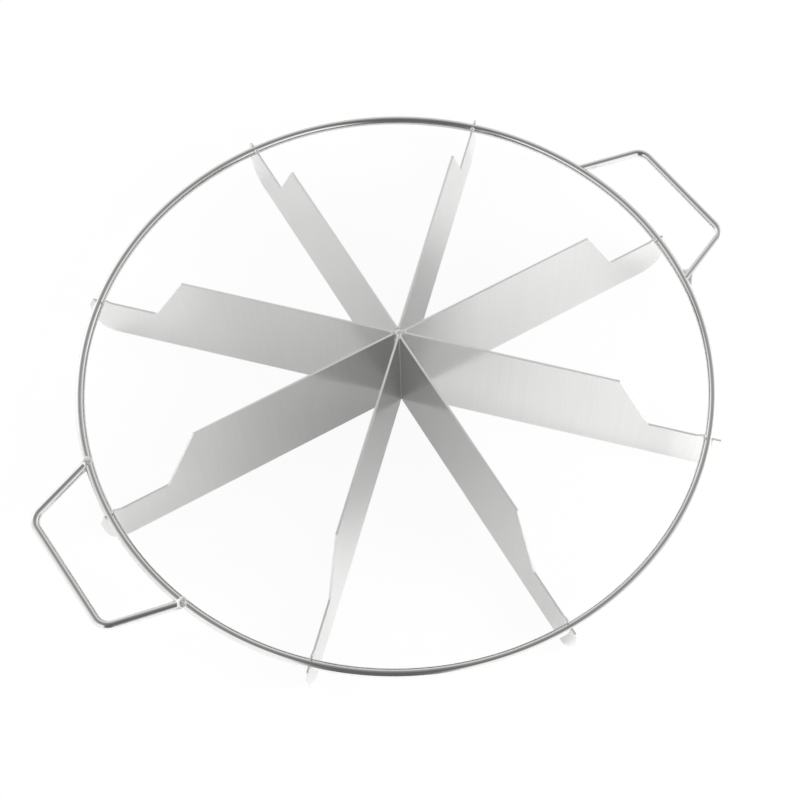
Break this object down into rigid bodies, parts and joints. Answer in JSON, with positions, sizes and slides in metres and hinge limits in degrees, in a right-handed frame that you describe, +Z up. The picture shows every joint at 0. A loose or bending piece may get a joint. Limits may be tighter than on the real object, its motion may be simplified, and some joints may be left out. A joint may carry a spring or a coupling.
{
  "type": "cake portion marker",
  "caption": "Round cake portion marker: radial stepped sheet blades folded from strips, a wire ring lying in notches near their ends, and wire handles at the sides.",
  "frame": {"origin": "centre of the blades' common lower plane, on the ring's axis", "axes": "+Z up, along the axis of the ring; +X towards the right handle, across both handles"},
  "size_m": [0.3332, 0.2864, 0.0553],
  "materials": {
    "polished_wire": "polished stainless steel wire",
    "blade_sheet": "satin stainless steel sheet, brushed along its height",
    "weld_metal": "small smooth weld beads, bright"
  },
  "bodies": {
    "root": {"ring": "polished_wire", "handle_right": "polished_wire", "handle_left": "polished_wire", "blade_strip_rear_right": "blade_sheet", "blade_strip_rear_left": "blade_sheet", "blade_strip_front_left": "blade_sheet", "blade_strip_front_right": "blade_sheet", "handle_weld_right_rear": "weld_metal", "handle_weld_right_front": "weld_metal", "handle_weld_left_rear": "weld_metal", "handle_weld_left_front": "weld_metal", "arm_weld_1": "weld_metal", "arm_weld_2": "weld_metal", "arm_weld_3": "weld_metal", "arm_weld_4": "weld_metal", "arm_weld_5": "weld_metal", "arm_weld_6": "weld_metal", "arm_weld_7": "weld_metal", "arm_weld_8": "weld_metal", "centre_weld_top": "weld_metal", "centre_weld_bottom": "weld_metal"}
  },
  "joints": []
}
